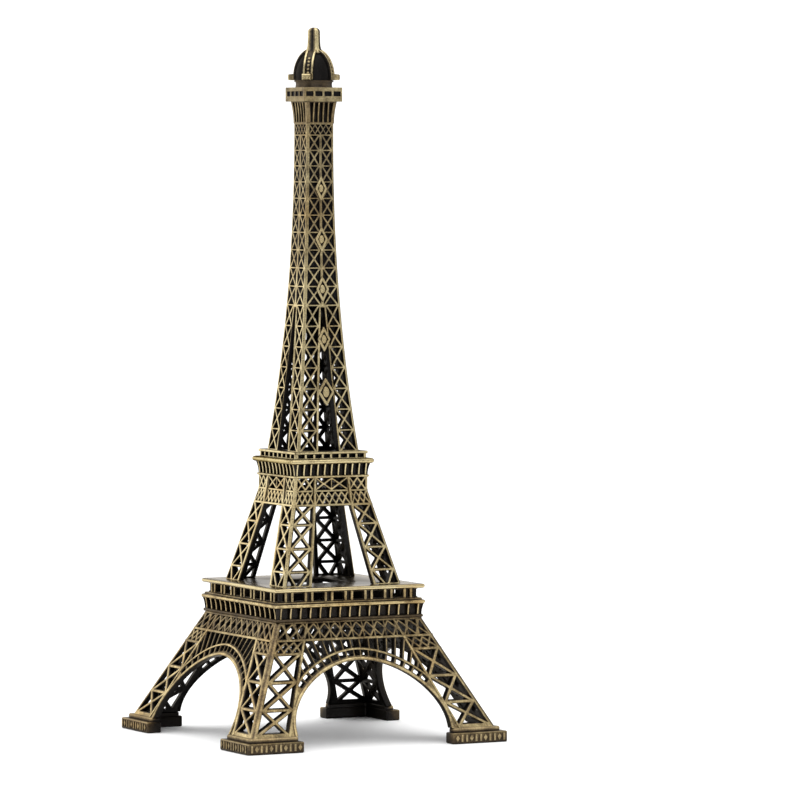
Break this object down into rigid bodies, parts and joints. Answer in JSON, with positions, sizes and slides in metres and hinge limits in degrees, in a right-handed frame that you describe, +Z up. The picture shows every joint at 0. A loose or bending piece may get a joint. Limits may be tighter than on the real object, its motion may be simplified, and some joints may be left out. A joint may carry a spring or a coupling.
{
  "type": "miniature lattice tower",
  "caption": "Hollow die-cast souvenir tower: splayed lattice legs with arches, stacked galleries, slender lattice shaft and a domed lantern.",
  "frame": {"origin": "on the ground under the tower's axis, at the middle of the four shoes", "axes": "+Z up the tower, -Y out of the front face, +X to the right seen from the front"},
  "size_m": [0.1022, 0.1022, 0.25],
  "materials": {
    "antique_bronze": "antique bronze plating, rubbed bright on raised edges, dark in the recesses",
    "dark_bronze": "antique bronze plating left dark",
    "black_patina": "black patina, satin"
  },
  "bodies": {
    "root": {"shoe_front_left": "dark_bronze", "shoe_front_right": "dark_bronze", "shoe_back_right": "dark_bronze", "shoe_back_left": "dark_bronze", "base_panel_front": "antique_bronze", "middle_panel_front": "antique_bronze", "shaft_panel_front": "antique_bronze", "base_panel_right": "antique_bronze", "middle_panel_right": "antique_bronze", "shaft_panel_right": "antique_bronze", "base_panel_back": "antique_bronze", "middle_panel_back": "antique_bronze", "shaft_panel_back": "antique_bronze", "base_panel_left": "antique_bronze", "middle_panel_left": "antique_bronze", "shaft_panel_left": "antique_bronze", "first_frieze": "dark_bronze", "second_frieze": "dark_bronze", "top_collar": "dark_bronze", "lantern_drum": "dark_bronze", "first_gallery_ledge": "antique_bronze", "first_colonnade": "antique_bronze", "first_platform": "antique_bronze", "second_gallery_ledge": "antique_bronze", "second_railing_front": "antique_bronze", "second_railing_right": "antique_bronze", "second_railing_back": "antique_bronze", "second_railing_left": "antique_bronze", "top_cabin": "antique_bronze", "finial": "antique_bronze", "lantern_rib_front_left": "antique_bronze", "lantern_rib_front_right": "antique_bronze", "lantern_rib_back_right": "antique_bronze", "lantern_rib_back_left": "antique_bronze", "lantern_dome": "black_patina"}
  },
  "joints": []
}
